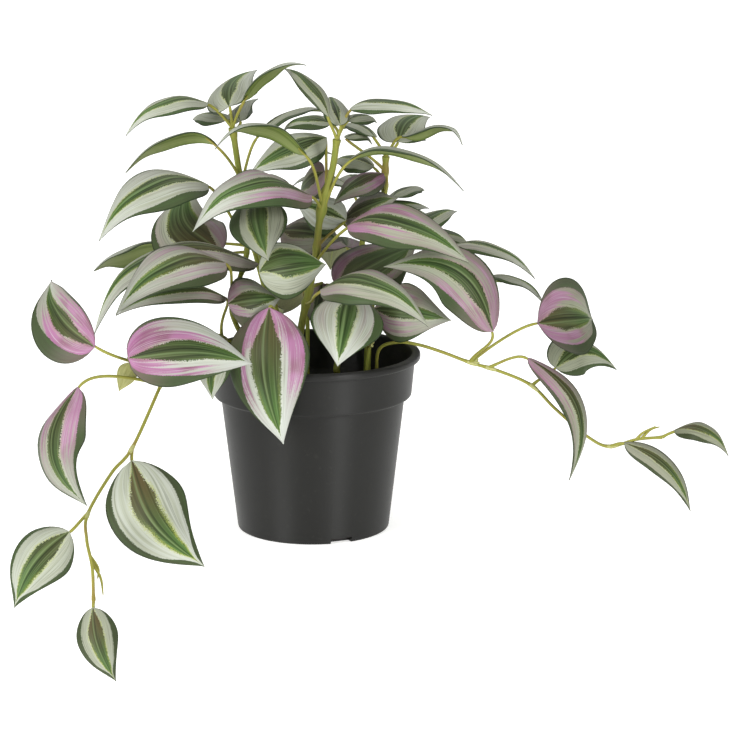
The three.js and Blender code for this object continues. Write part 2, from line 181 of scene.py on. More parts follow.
class Sheet:  # gathers the points and faces of one piece
    def __init__(self):
        self.points = []
        self.faces = []
        self.slots = []  # the finish of each face
        self.run = []  # two numbers at each point, along and across
        self.carried = {}  # named triples at each point, read by the finishes
        self.count = 0

    def add(self, points, faces, slot=0, run=None, **carried):
        points = np.asarray(points, float).reshape(-1, 3)
        self.points.append(points)
        self.run.append(np.zeros((len(points), 2)) if run is None else np.asarray(run, float).reshape(-1, 2))
        for name, values in carried.items():
            self.carried.setdefault(name, []).append(np.broadcast_to(values, points.shape))
        self.faces += [[i + self.count for i in face] for face in faces]
        self.slots += [slot] * len(faces)
        self.count += len(points)

    def make(self, name, materials, sharp=None):  # edges bent more than sharp degrees stay crisp
        mesh = bpy.data.meshes.new(name)
        points = np.vstack(self.points) * millimetre
        mesh.from_pydata(points.tolist(), [], self.faces)
        mesh.polygons.foreach_set("material_index", self.slots)
        corners = np.zeros(len(mesh.loops), np.int32)
        mesh.loops.foreach_get("vertex_index", corners)
        layer = mesh.uv_layers.new(name="run")
        layer.uv.foreach_set("vector", np.vstack(self.run)[corners].astype(np.float32).ravel())
        for key, values in self.carried.items():
            field = mesh.attributes.new(key, "FLOAT_VECTOR", "POINT")
            field.data.foreach_set("vector", np.vstack(values).astype(np.float32).ravel())
        mesh.polygons.foreach_set("use_smooth", np.ones(len(mesh.polygons), bool))
        for material in materials:
            mesh.materials.append(material)
        mesh.update()
        if sharp is not None:
            mesh.set_sharp_from_angle(angle=math.radians(sharp))
        made = bpy.data.objects.new(name, mesh)
        scene.collection.objects.link(made)
        return made


def gridFaces(rows, columns, closed=False):  # closed joins the last column to the first
    across = columns if closed else columns - 1
    return [(i * columns + j, i * columns + (j + 1) % columns,
             (i + 1) * columns + (j + 1) % columns, (i + 1) * columns + j)
            for i in range(rows - 1) for j in range(across)]


def addTube(sheet, path, radii, sides, slot=0, **carried):
    path = np.asarray(path, float)
    radii = np.broadcast_to(radii, len(path))
    tangents = units(np.gradient(path, axis=0))
    aside = unit(np.cross(tangents[0], tubeStart))
    turn = np.linspace(0, 2 * math.pi, sides, endpoint=False)
    rings = []
    for point, tangent, radius in zip(path, tangents, radii):
        aside = unit(aside - tangent * aside.dot(tangent))
        other = np.cross(tangent, aside)
        rings.append(point + radius * (np.outer(np.cos(turn), aside) + np.outer(np.sin(turn), other)))
    run = np.stack(np.broadcast_arrays(lengthsAlong(path)[:, None] / tubeRun, turn / (2 * math.pi)), axis=-1)
    rows = len(path)
    faces = gridFaces(rows, sides, closed=True)
    faces.append(tuple(range(sides))[::-1])  # the two end caps
    faces.append(tuple(range((rows - 1) * sides, rows * sides)))
    sheet.add(np.concatenate(rings), faces, slot, run, **carried)


# The camera, where the photograph was taken from.

camera = {
    "place": (0.0255, -1.335, 0.376),
    "pitchDown": 13.07,
    "lens": 155.65,
    "sensor": 36,
    "nearest": 0.01,
}


def setCamera():
    data = bpy.data.cameras.new("camera")
    data.lens = camera["lens"]
    data.sensor_width = camera["sensor"]
    data.clip_start = camera["nearest"]
    view = bpy.data.objects.new("camera", data)
    view.location = camera["place"]
    view.rotation_euler = (math.radians(90 - camera["pitchDown"]), 0, 0)
    scene.collection.objects.link(view)
    scene.camera = view


setCamera()
print("camera set")


# The pale floor and the soft lights.

studio = {
    "floorHalf": 6.0,
    "floorColour": "#fafaf8",
    "floorPatches": (0.96, 0.96, 0.96, 1),
    "patchScale": 40,
    "floorRoughness": 0.9,
    "floorBump": (0.0001, 0.4),
    "floorGlow": 0.6,  # keeps the shadow under the plant faint
    "skyStrength": 0.15,
    "lamps": [  # place, aimed at, width, height, watts
        ((-0.3, 0.0, 2.4), (0, 0.2, 0), 3.6, 3.6, 27),
        ((0.0, 2.4, 1.9), (0, 2.2, 0), 4.0, 2.0, 32),
        ((-1.1, -1.25, 0.6), (0, 0, 0.1), 0.7, 1.2, 27),
        ((0.95, -1.3, 0.6), (0, 0, 0.08), 0.5, 1.1, 17),
    ],
}


def setStudio():
    world = bpy.data.worlds.new("studioSky")
    scene.world = world
    world.use_nodes = True
    background = world.node_tree.nodes["Background"]
    background.inputs["Color"].default_value = (1, 1, 1, 1)
    background.inputs["Strength"].default_value = studio["skyStrength"]
    scene.view_settings.view_transform = "Standard"
    half = studio["floorHalf"]
    corners = [(-half, -half, 0), (half, -half, 0), (half, half, 0), (-half, half, 0)]
    mesh = bpy.data.meshes.new("floor")
    mesh.from_pydata(corners, [], [(0, 1, 2, 3)])
    floor = bpy.data.objects.new("floor", mesh)
    finish = Finish("paleFloor", studio)
    white = finish.tones["floorColour"]
    grain = finish.noise(finish.spot(), studio["patchScale"])
    colour = finish.mix(grain, white, studio["floorPatches"])
    mesh.materials.append(finish.cover(colour, studio["floorRoughness"], grain, studio["floorBump"],
                                       Emission_Color=white, Emission_Strength=studio["floorGlow"]))
    scene.collection.objects.link(floor)
    for place, target, width, height, watts in studio["lamps"]:
        data = bpy.data.lights.new("softLamp", "AREA")
        data.shape = "RECTANGLE"
        data.size = width
        data.size_y = height
        data.energy = watts
        lamp = bpy.data.objects.new("softLamp", data)
        lamp.location = place
        x, y, z = (b - a for a, b in zip(place, target))
        lamp.rotation_euler = (math.atan2(math.hypot(x, y), -z), 0, math.atan2(-x, y))
        scene.collection.objects.link(lamp)


setStudio()
print("studio set")


# The pot: one moulded wall with a rolled lip, a stepped band and a foot notched three times.

pot = {
    "turns": 160,
    "footRadius": 32.2,
    "bodyTopRadius": 38.9,
    "collarFoot": 58.6,
    "collarFootRadius": 41.9,
    "collarTopRadius": 43.3,
    "rimRadius": 45.6,
    "shoulderDrop": 2.2,  # the tapered body ends this far below the collar band
    "height": 76,
    "lipHeight": 3,
    "wall": 1.3,
    "floorThickness": 1.4,
    "notch": (9.4, 4, 2.4),  # width, reach to either side of the wall, height
    "notchTurns": (22.5, 142.5, 262.5),
    "sharp": 38,
    "colour": "#191918",
    "paler": "#20201e",
    "scuffed": "#4c4c48",
    "cloudScale": 38,
    "grainScale": 2600,
    "scuffScale": 420,
    "drawnScale": (1400, 1400, 30),  # faint lines up the wall
    "roughness": 0.42,
    "bump": (0.00006, 0.3),
    "specular": 0.3,
    "upright": (0.85, 0.25),  # draws the highlights out upwards
}


def rounded(corners, steps=5):  # corners are (radius, height, rounding)
    outline = [np.array(corners[0][:2], float)]
    for before, corner, after in zip(corners, corners[1:], corners[2:]):
        point = np.array(corner[:2], float)
        back = np.array(before[:2]) - point
        ahead = np.array(after[:2]) - point
        reach = min(corner[2], 0.48 * np.linalg.norm(back), 0.48 * np.linalg.norm(ahead))
        if reach <= 0:
            outline.append(point)
            continue
        start = point + unit(back) * reach
        end = point + unit(ahead) * reach
        for f in np.linspace(0, 1, steps):
            outline.append((1 - f) ** 2 * start + 2 * f * (1 - f) * point + f * f * end)
    outline.append(np.array(corners[-1][:2], float))
    return np.array(outline)


def addLathe(sheet, outline, turns, slot=0):  # the outline starts and ends on the axis
    angles = np.linspace(0, 2 * math.pi, turns, endpoint=False)
    ring = outline[1:-1]
    x = ring[:, :1] * np.cos(angles)
    y = ring[:, :1] * np.sin(angles)
    z = np.broadcast_to(ring[:, 1:], x.shape)
    points = np.stack([x, y, z], axis=-1).reshape(-1, 3)
    ends = np.array([[0, 0, outline[0][1]], [0, 0, outline[-1][1]]])
    faces = gridFaces(len(ring), turns, closed=True)
    first = len(points)
    last = (len(ring) - 1) * turns
    faces += [(first, (j + 1) % turns, j) for j in range(turns)]
    faces += [(first + 1, last + j, last + (j + 1) % turns) for j in range(turns)]
    sheet.add(np.vstack([points, ends]), faces, slot)


def potFinish():
    f = Finish("satinBlackPlastic", pot)
    spot = f.spot()
    clouds = f.noise(spot, pot["cloudScale"], 3)
    grain = f.noise(spot, pot["grainScale"], 2)
    scuffs = f.noise(spot, pot["scuffScale"], 4).step(0.6, 0.75)
    drawn = f.noise(f.vector(*(part * scale for part, scale in zip(spot.parts(), pot["drawnScale"]))), 1, 1)
    colour = f.mix(clouds, "colour", "paler")
    colour = f.mix(scuffs * 0.1, colour, "scuffed")
    roughness = pot["roughness"] + clouds * 0.1 + grain * 0.05 + scuffs * 0.08
    stretch, turn = pot["upright"]
    return f.cover(colour, roughness, grain + drawn * 0.6, pot["bump"], pot["specular"],
                   Anisotropic=stretch, Anisotropic_Rotation=turn)


def makePot():
    p = pot
    lipFoot = p["height"] - p["lipHeight"]
    shoulder = p["collarFoot"] - p["shoulderDrop"]
    inner = p["wall"]
    outline = rounded([
        (0, 0, 0),
        (p["footRadius"], 0, 1.0),
        (p["bodyTopRadius"], shoulder, 0.5),
        (p["bodyTopRadius"] + 0.5, shoulder + 0.9, 0.3),
        (p["collarFootRadius"] - 0.1, shoulder + 1.2, 1.0),
        (p["collarFootRadius"] + 0.1, p["collarFoot"] + 0.6, 0.6),
        (p["collarTopRadius"], lipFoot, 0.4),
        (p["rimRadius"], lipFoot + 0.2, 0.9),
        (p["rimRadius"], p["height"], 1.1),
        (p["collarTopRadius"] - inner, p["height"], 0.9),
        (p["collarTopRadius"] - inner, lipFoot, 0.4),
        (p["collarFootRadius"] - inner, p["collarFoot"] + 0.4, 0.6),
        (p["bodyTopRadius"] - inner, shoulder + 0.8, 0.4),
        (p["footRadius"] - inner, p["floorThickness"], 0.8),
        (0, p["floorThickness"], 0),
    ])
    shell = Sheet()
    addLathe(shell, outline, p["turns"])
    made = shell.make("nursery_pot", [potFinish()])
    blocks = Sheet()
    wide, deep, high = p["notch"]
    foot = p["footRadius"]
    for turn in p["notchTurns"]:
        c, s = math.cos(math.radians(turn)), math.sin(math.radians(turn))
        x, y, z = boxCorners((-wide / 2, wide / 2), (-foot - deep, -foot + deep), (-high, high)).T
        blocks.add(np.stack([x * c - y * s, x * s + y * c, z], axis=1), boxFaces)
    cutter = blocks.make("notches", [])
    cut = made.modifiers.new("notches", "BOOLEAN")
    cut.operation = "DIFFERENCE"
    cut.solver = "EXACT"
    cut.object = cutter
    whole = made.evaluated_get(bpy.context.evaluated_depsgraph_get())
    made.data = bpy.data.meshes.new_from_object(whole)
    made.modifiers.clear()
    made.data.set_sharp_from_angle(angle=math.radians(p["sharp"]))
    bpy.data.objects.remove(cutter)
    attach(made, "root")
    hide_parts("pot")


makePot()
print("pot made")


# The compost: a crumbly surface with flecks of bark.

soil = {
    "rings": 44,
    "turns": 150,
    "edgeHeight": 54.8,
    "middleHeight": 57.5,
    "lowRadius": 30.6,
    "foot": 1.7,
    "wallShort": 3.2,  # the pot's tapered wall is this much lower than the foot of its collar
    "fall": 0.6,  # the slope from the middle ends this much above edgeHeight
    "crumb": 0.55,
    "waves": (11, 5.5, 2.8, 1.5),  # lengths of the lumps
    "wavesEach": 5,
    "waveHeight": 0.07,
    "scatter": 0.16,
    "chips": 420,
    "chipShape": (1.6, 0.9, 0.45),
    "chipSize": (0.35, 1.15),
    "chipRim": 2.5,  # chips keep this far from the wall
    "sharp": 32,
    "dark": "#17110c",
    "brown": "#33261b",
    "bark": "#4a3524",
    "crumbScale": 900,
    "dampScale": 60,
    "bump": (0.0006, 0.8),
}


def soilFinish(name, dark, light, rough):
    f = Finish(name, soil)
    spot = f.spot()
    crumbs = f.noise(spot, soil["crumbScale"], 4)
    damp = f.noise(spot, soil["dampScale"], 2)
    colour = f.mix(crumbs.step(0.35, 0.7), dark, light)
    colour = f.mix(damp * 0.5, colour, "dark")
    return f.cover(colour, rough - damp * 0.2, crumbs, soil["bump"])


def soilLevel(share, sunk):  # share goes from 0 in the middle to 1 at the edge
    s = soil
    return s["middleHeight"] - sunk - (s["middleHeight"] - s["edgeHeight"] - s["fall"]) * share ** 3


def makeSoil():
    s = soil
    fullTurn = 2 * math.pi
    slope = (pot["bodyTopRadius"] - pot["footRadius"]) / (pot["collarFoot"] - s["wallShort"])
    edge = s["lowRadius"] + (s["edgeHeight"] - s["foot"]) * slope
    rings, turns = s["rings"], s["turns"]
    angles = np.linspace(0, fullTurn, turns, endpoint=False)
    steps = np.linspace(0.02, 1, rings)[:, None]
    x = edge * steps * np.cos(angles)
    y = edge * steps * np.sin(angles)
    rough = np.zeros_like(x)
    for size in s["waves"]:
        for _ in range(s["wavesEach"]):
            way = chance.uniform(0, fullTurn)
            shift = chance.uniform(0, fullTurn)
            along = x * math.cos(way) + y * math.sin(way)
            rough += s["waveHeight"] * size ** 0.6 * np.sin(along * fullTurn / size + shift)
    rough += chance.normal(0, s["scatter"], x.shape)
    fade = 1 - steps ** 8  # flat where the compost meets the wall
    z = soilLevel(steps, 0.5) + s["crumb"] * rough * fade
    points = np.stack([x, y, z], axis=-1).reshape(-1, 3)
    low = np.stack([s["lowRadius"] * np.cos(angles), s["lowRadius"] * np.sin(angles),
                    np.full(turns, s["foot"])], axis=-1)
    faces = [face[::-1] for face in gridFaces(rings, turns, closed=True)]
    last = (rings - 1) * turns
    base = rings * turns
    faces += [(last + j, base + j, base + (j + 1) % turns, last + (j + 1) % turns) for j in range(turns)]
    faces.append(tuple(range(base, base + turns))[::-1])
    faces.append(tuple(range(turns)))
    bed = Sheet()
    bed.add(np.vstack([points, low]), faces)
    block = boxCorners((-1, 1), (-1, 1), (-1, 1))
    for number in range(s["chips"]):
        reach = (edge - s["chipRim"]) * math.sqrt(chance.random())
        way = chance.uniform(0, fullTurn)
        size = chance.uniform(*s["chipSize"]) * np.array(s["chipShape"]) * chance.uniform(0.7, 1.2, 3)
        turn = np.linalg.qr(chance.normal(size=(3, 3)) + 1.5 * np.eye(3))[0]
        corners = (block + chance.uniform(-0.25, 0.25, block.shape)) * size @ turn.T
        place = (reach * math.cos(way), reach * math.sin(way), soilLevel(reach / edge, 0.6))
        mirrored = np.linalg.det(turn) < 0
        sides = [face[::-1] for face in boxFaces] if mirrored else boxFaces
        bed.add(corners + place, sides, 1 if number % 3 else 0)
    compost = soilFinish("dampCompost", "dark", "brown", 0.95)
    bark = soilFinish("barkFlecks", "brown", "bark", 0.8)
    made = bed.make("compost", [compost, bark], s["sharp"])
    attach(made, "root")
    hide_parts("soil")


makeSoil()
print("compost made")


# Leaves. Bands run the length of a blade: green in the middle, silver beside it, dark green at
# the margins, with lilac over the silver near the base.

blade = {
    "rows": 30,
    "columns": 12,  # on each side of the midrib
    "thickness": 0.5,
    "edgeThickness": 0.24,
    "narrowest": 0.3,  # half the width that is left at the root
    "pointed": 0.15,  # and at the tip
    "baseFullness": 0.58,
    "tipSharpness": 1.1,
    "archLead": 1.05,
    "archFullness": 0.08,
    "cupStart": 0.35,  # shares of a leaf's cup, beside the midrib and out to the edge
    "cupRise": 1.3,
    "groove": 0.35,
    "grooveWidth": 0.09,
    "rib": 0.35,
    "ribWidth": 0.07,
    "wave": 0.022,  # ripples of the edges, as a share of the width
    "waves": (1.2, 2.2),  # fewest and most along an edge
    "sharp": 50,
    "green": "#435e34",
    "deepGreen": "#202d17",
    "lightGreen": "#7c9060",
    "freshGreen": "#5a7b38",
    "olive": "#50462c",
    "silver": "#bbbfb8",
    "white": "#cccfcd",
    "dullSilver": "#8b9078",
    "mauve": "#74625f",
    "lilac": "#a26892",
    "rose": "#82506a",
    "margin": "#405330",
    "greyMargin": "#3b3d2c",
    "fringe": "#929a48",
    "under": "#5c6c34",
    "underPale": "#7f8a55",
    "underSilver": "#8a9070",
    "underPurple": "#624849",
    "underRib": "#8a9648",
    # the colour of the painted shade on leaves deep in the plant
    "paintedShade": "#2e2626",
    "bump": (0.0005, 0.5),
    "underBump": (0.0004, 0.35),
    "specular": 0.16,
}


def leafTopFinish():
    f = Finish("leafUpper", blade)
    t, across = f.run()
    u = across * 2 - 1  # t goes from root to tip, u from -1 to 1 across
    x, y, seed = f.carried("place")
    pink, pale, olive = f.carried("tint")
    band, rim, lean = f.carried("zones")
    shift, shade, keep = f.carried("more")
    grain = f.noise(f.vector(x, y, seed), 2.1, 3)
    drift = f.noise(f.vector(t * 3, u, seed), 1.6, 1)
    veins = f.noise(f.vector(t * 0.9, u * 9, seed), 1, 2)
    fineVeins = f.noise(f.vector(t * 1.3, u * 26, seed), 1, 2)
    hairs = f.noise(f.vector(t * 1.8, u * 34, seed + 4), 1, 3)
    stripes = f.noise(f.vector(t * 0.6, u * 5.5, seed + 9), 1, 1)
    wide = abs(u + (drift - 0.5) * 0.18 - shift)
    torn = (grain - 0.5) * 0.2 + (fineVeins - 0.5) * 0.06
    # the green middle, brown at its base
    half = band * (t.step(-0.08, 0.34) * 0.85 + 0.15) * (1 - t.step(0.8, 0.97))
    middle = 1 - (wide + torn).step(half - 0.012, half + 0.012)
    green = f.mix(veins.step(0.34, 0.66), "deepGreen", "green")
    lines = fineVeins.step(0.5, 0.7) * 0.4 + hairs.step(0.5, 0.7) * 0.25
    green = f.mix(lines, green, "lightGreen")
    green = f.mix(t.step(0.45, 0.9) * 0.35, green, "freshGreen")
    browned = olive * (1 - t.step(0.1, 0.8)) * (veins.step(0.25, 0.6) * 0.5 + 0.5)
    green = f.mix(browned, green, "olive")
    # painted shade along the midrib's crease, and a painted highlight just beside it
    paintedCreaseShade = 1 - abs(u + 0.03).step(0.0, 0.045)
    paintedMidribHighlight = 1 - abs(u - 0.06).step(0.0, 0.05)
    green = f.mix(paintedCreaseShade * 0.6, green, "deepGreen")
    green = f.mix(paintedMidribHighlight * 0.45, green, "lightGreen")
    # silver, whiter beside the middle and at the tip, with lilac stripes from the base
    bright = pale * (veins.step(0.2, 0.75) * 0.5 + 0.5)
    silver = f.mix(bright, "dullSilver", "silver")
    silver = f.mix(fineVeins.step(0.45, 0.65) * 0.5, silver, "dullSilver")
    silver = f.mix(hairs.step(0.5, 0.7) * (0.6 - pale * 0.3), silver, "greyMargin")
    dull = wide.step(0.45, 1.0) * (1 - pale) * (pink * 0.9 + 0.1)
    silver = f.mix(dull, silver, "mauve")
    silver = f.mix(t.step(0.5, 0.95) * (pale * 0.35 + 0.05), silver, "white")
    beside = 1 - (wide - half).step(0.02, 0.12)
    beside = beside * (grain.step(0.3, 0.6) * 0.4 + 0.2) * (pale * 0.7 + 0.3)
    silver = f.mix(beside, silver, "white")
    flush = 1 - t.step(0.04, 0.55)
    striped = stripes.step(0.44, 0.58) * (1 - t.step(0.35, 0.92))
    strong = pink * (flush + striped * (1 - flush)) * (fineVeins.step(0.25, 0.6) * 0.35 + 0.65)
    specks = (strong + (grain - 0.5) * 0.7 + (fineVeins - 0.5) * 0.9 + (hairs - 0.5) * 0.8).step(0.32, 0.6)
    lilac = f.mix(drift.step(0.3, 0.62), "rose", "lilac")
    colour = f.mix(strong * 0.4 + specks * pink * 0.6, silver, lilac)
    colour = f.mix(hairs.step(0.5, 0.68) * strong * 0.4, colour, "white")
    colour = f.mix(fineVeins.step(0.52, 0.7) * strong * 0.4, colour, "rose")
    # a yellow-green fringe on both sides of the middle's edge
    fringe = (wide + torn).step(half, half + 0.01) * (1 - (wide + torn * 2).step(half + 0.04, half + 0.11))
    fringe = fringe * grain.step(0.4, 0.54) * (1 - pink * 0.7) * 0.85
    colour = f.mix(fringe, colour, "fringe")
    inside = (wide + torn).step(half - 0.11, half - 0.03) * t.step(0.35, 0.7) * grain.step(0.3, 0.5)
    inside = inside * (1 - pink * 0.6) * (olive * 0.6 + 0.1)
    green = f.mix(inside, green, "fringe")
    colour = f.mix(middle, colour, green)
    # green margins, wider near the base and on one side, inside a thin dark edge
    thinned = 1.05 - t.step(0.25, 0.98) * (1 - keep)
    share = rim * (1 + lean * u) * t.step(-0.25, 0.2) * thinned + keep * t.step(0.72, 1.0) * 0.8 + 0.015
    outer = (abs(u) - torn * 0.45).step(1 - share - 0.012, 1 - share + 0.012)
    margin = f.mix(veins * 0.5 + olive * 0.45, "margin", "greyMargin")
    margin = f.mix(fineVeins.step(0.4, 0.7) * 0.3, margin, "green")
    margin = f.mix(pink * 0.6 * (1 - t.step(0.0, 0.4)), margin, "mauve")
    colour = f.mix(outer, colour, margin)
    colour = f.mix(abs(u).step(0.955, 0.985) * 0.8, colour, "deepGreen")
    colour = f.mix(shade * (veins * 0.4 + 0.8), colour, "paintedShade")  # painted shade: leaves deep in the plant are darkened
    roughness = 0.36 + grain * 0.12 - middle * 0.03
    height = veins * 0.6 + fineVeins * 0.35 + grain * 0.2
    return f.cover(colour, roughness, height, blade["bump"], blade["specular"])


def leafUnderFinish():
    f = Finish("leafUnder", blade)
    t, across = f.run()
    u = across * 2 - 1
    x, y, seed = f.carried("place")
    pink = f.carried("tint")[0]
    band, rim = f.carried("zones")[:2]
    grain = f.noise(f.vector(x, y, seed), 1.8, 2)
    veins = f.noise(f.vector(t * 0.9, u * 13, seed), 1, 2)
    paler = abs(u).step(band, band + 0.12) * (1 - abs(u).step(0.96 - rim, 1.02 - rim))
    colour = f.mix(paler * 0.6 + veins.step(0.4, 0.7) * 0.3, "under", "underPale")
    colour = f.mix(t.step(0.3, 1.0) * 0.6, colour, "underSilver")
    colour = f.mix(pink * 0.6 * grain.step(0.2, 0.7), colour, "underPurple")
    rib = 1 - abs(u).step(0.0, 0.07)
    colour = f.mix(rib * 0.6, colour, "underRib")
    colour = f.mix(abs(u).step(0.95, 0.985) * 0.6, colour, "deepGreen")
    roughness = 0.5 + grain * 0.1
    height = veins + grain * 0.2
    return f.cover(colour, roughness, height, blade["underBump"], blade["specular"])


# A leaf's stalk grows from a joint of the stem, or between two (start), and may pass a place (via).
# Its blade runs from root to tip with its upper side towards face, arches up by arch, swings aside by
# sway and is folded by cup degrees. A lead above 1 moves the arch towards the tip. Then its print: how
# pink, pale and olive it is, the green band's half width (band) and how far off the middle it lies
# (shift), the margin's width (rim), how much wider it is on one side (lean) and how well it holds to
# the tip (keep). Apart from the print, shade is painted shade: it darkens the colour of leaves deep in
# the plant. A plain leaf is a pale bract.
def leaf(start, root, tip, face, wide, arch, cup=24, sway=0, via=None, lead=blade["archLead"],
         pink=0, pale=0.5, olive=0.35, band=0.27, rim=0.14, lean=None, shift=0, shade=0, keep=0, plain=False):
    if lean is None:  # the wider margin is on the side that hangs towards the front
        lean = 0.7 if tip[0] > root[0] else -0.7
    root, tip, face = np.array([root, tip, face], float)
    return dict(start=start, root=root, tip=tip, face=face, wide=wide, arch=arch, cup=cup, sway=sway, via=via,
                lead=lead, plain=plain, tint=(pink, pale, olive), zones=(band, rim, lean),
                more=(shift, shade, keep))


def midribOf(data):
    along = data["tip"] - data["root"]
    length = np.linalg.norm(along)
    along = along / length
    up = unit(data["face"] - along * data["face"].dot(along))
    side = np.cross(along, up)

    def midrib(t):
        t = np.clip(np.asarray(t, float), 0, 1)[..., None]
        turn = math.pi * t ** data["lead"]
        rise = (np.sin(turn) + blade["archFullness"] * np.sin(3 * turn)) / (1 - blade["archFullness"])
        aside = side * data["sway"] * np.sin(math.pi * t)
        return data["root"] + along * length * t + up * data["arch"] * rise + aside

    return length, side, midrib


widestAt = blade["baseFullness"] / (blade["baseFullness"] + blade["tipSharpness"])


def outlineAt(t):
    return t ** blade["baseFullness"] * (1 - t) ** blade["tipSharpness"]


def addBlade(sheet, data):
    b = blade
    length, side, midrib = midribOf(data)
    seed = chance.uniform(0, 50)
    even = np.linspace(0, 1, b["rows"] + 1)
    t = 0.5 * even + 0.25 * (1 - np.cos(math.pi * even))  # closer rows at both ends
    even = np.linspace(-1, 1, 2 * b["columns"] + 1)
    u = np.sin(even * math.pi / 2) * 0.35 + even * 0.65  # and closer columns at the edges
    half = np.maximum(data["wide"] / 2 * outlineAt(t) / outlineAt(widestAt), b["narrowest"])
    half[-1] = b["pointed"]
    forward = units(midrib(t + 0.01) - midrib(t - 0.01))
    normal = units(np.cross(side, forward))
    across = np.cross(forward, normal)
    cup = math.radians(data["cup"])
    low, rise = b["cupStart"] * cup, b["cupRise"] * cup
    out = half[:, None] * np.sign(u) * (np.sin(low + rise * abs(u)) - math.sin(low)) / rise
    drop = half[:, None] * (np.cos(low + rise * abs(u)) - math.cos(low)) / rise
    ends = np.sin(math.pi * t)[:, None] ** 0.6  # fades what follows towards root and tip
    drop = drop - math.copysign(1, cup) * b["groove"] * np.exp(-(u / b["grooveWidth"]) ** 2) * ends
    phases = chance.uniform(0, 2 * math.pi, 2)
    waves = chance.uniform(*b["waves"], 2)
    for onSide, count, phase in zip((u < 0, u > 0), waves, phases):
        ripple = np.sin(2 * math.pi * count * t + phase)[:, None]
        drop = drop + onSide * abs(u) ** 2 * b["wave"] * data["wide"] * ends * ripple
    centre = midrib(t)[:, None] + across[:, None] * out[..., None] + normal[:, None] * drop[..., None]
    thick = b["edgeThickness"] + (b["thickness"] - b["edgeThickness"]) * (1 - u ** 2) * (0.4 + 0.6 * ends)
    rib = b["rib"] * np.exp(-(u / b["ribWidth"]) ** 2) * (1 - t)[:, None] ** 0.7 * min(1, data["wide"] / 20)
    top = centre + normal[:, None] * (thick / 2)[..., None]
    under = centre - normal[:, None] * (thick / 2 + rib)[..., None]
    rows, columns = len(t), len(u)
    run = np.stack(np.broadcast_arrays(t[:, None], (u[None] + 1) / 2), axis=-1)
    place = np.stack(np.broadcast_arrays(t[:, None] * length, half[:, None] * u[None], seed), axis=-1)
    faces = gridFaces(rows, columns)
    carried = dict(place=place.reshape(-1, 3), tint=data["tint"], zones=data["zones"], more=data["more"])
    skin = 2 if data["plain"] else 0
    sheet.add(top, faces, skin, run, **carried)
    sheet.add(under, [face[::-1] for face in faces], skin or 1, run, **carried)
    size = rows * columns
    upper, lower = sheet.count - 2 * size, sheet.count - size
    last = size - columns
    edge = [*range(0, last, columns), *range(last, size - 1),  # all the way round, by way of the tip
            *range(size - 1, columns - 1, -columns), *range(columns - 1, 0, -1)]
    for a, c in zip(edge, edge[1:] + edge[:1]):
        sheet.faces.append([upper + a, upper + c, lower + c, lower + a])
        sheet.slots.append(skin)


# Stems, the stalks of the leaves and the small growth at the joints.

stalk = {
    "rise": (36, 59.5, 64),  # heights of the straight foot, from inside the compost
    "samples": 24,  # rings from one joint to the next
    "sides": 12,
    "narrowing": 0.18,
    "swelling": 0.32,  # at each joint
    "swellingReach": 2.0,
    "stalkSides": 10,
    "stalkSamples": 28,
    "stalkRadius": 0.62,
    "stalkFoot": 0.8,
    "stalkSink": 0.75,  # how far it lies below the middle of the blade
    "stalkVia": 0.35,  # the curve of a stalk that is given no place to pass
    "stalkLift": 0.06,
    "stalkBend": 0.28,
    "sproutSides": 8,
    "tuftBracts": 6,
    "tuftSpread": 0.42,
    "sharp": 60,
    "green": "#6a7830",
    "yellow": "#989042",
    "brown": "#86683a",
    "shade": "#4e5a26",
    "sheath": "#aaa970",
    "dull": "#8c8c4c",
    "sheathStart": -1.2,
    "sheathReach": 3.4,
    "sheathRings": 8,
    "sheathWidth": 1.16,
    "sheathed": 1.15,  # only stems thinner than this keep their sheaths
    "bump": (0.0003, 0.4),
    "specular": 0.2,
    "bractBump": (0.0003, 0.3),
    "bractSpecular": 0.3,
    "tones": {"stem": 0.25, "trail": 0.7, "stalk": 0.65, "sprout": 0.8, "bract": 0.9},  # green to yellow
}


def stalkFinish():
    f = Finish("stemSkin", stalk)
    spot = f.spot()
    along, around = f.run()
    tone = f.carried("tone")[0]
    streaks = f.noise(f.vector(along * 6, around * 9, tone * 7), 1, 2)
    patches = f.noise(spot, 70, 2)
    grain = f.noise(spot, 1500, 2)
    colour = f.mix(tone * 0.6 + streaks.step(0.3, 0.7) * 0.4, "green", "yellow")
    colour = f.mix(patches.step(0.52, 0.72) * 0.5, colour, "brown")
    colour = f.mix(streaks.step(0.58, 0.75) * 0.35, colour, "shade")
    roughness = 0.45 + grain * 0.15
    height = streaks + grain * 0.3
    return f.cover(colour, roughness, height, stalk["bump"], stalk["specular"])


def bractFinish():
    f = Finish("paleBract", stalk)
    along, across = f.run()
    veins = f.noise(f.vector(along, across * 14, 3), 1, 2)
    patches = f.noise(f.spot(), 300, 2)
    colour = f.mix(veins.step(0.35, 0.65) * 0.5, "sheath", "dull")
    colour = f.mix(patches.step(0.5, 0.7) * 0.25, colour, "green")
    roughness = 0.5 + patches * 0.1
    return f.cover(colour, roughness, veins, stalk["bractBump"], stalk["bractSpecular"])


def toneOf(part):
    return (stalk["tones"][part], 0, 0)


class Stem:  # joint 0 is the first point of its route, and 1.5 is half-way from joint 1 to 2
    def __init__(self, data):
        x, y = data["foot"]
        self.data = data
        self.curve = Curve([(x, y, z) for z in stalk["rise"]] + data["route"])

    def share(self, joint):
        return (joint + len(stalk["rise"])) / self.curve.spans

    def at(self, joint):
        return self.curve.at(self.share(joint))


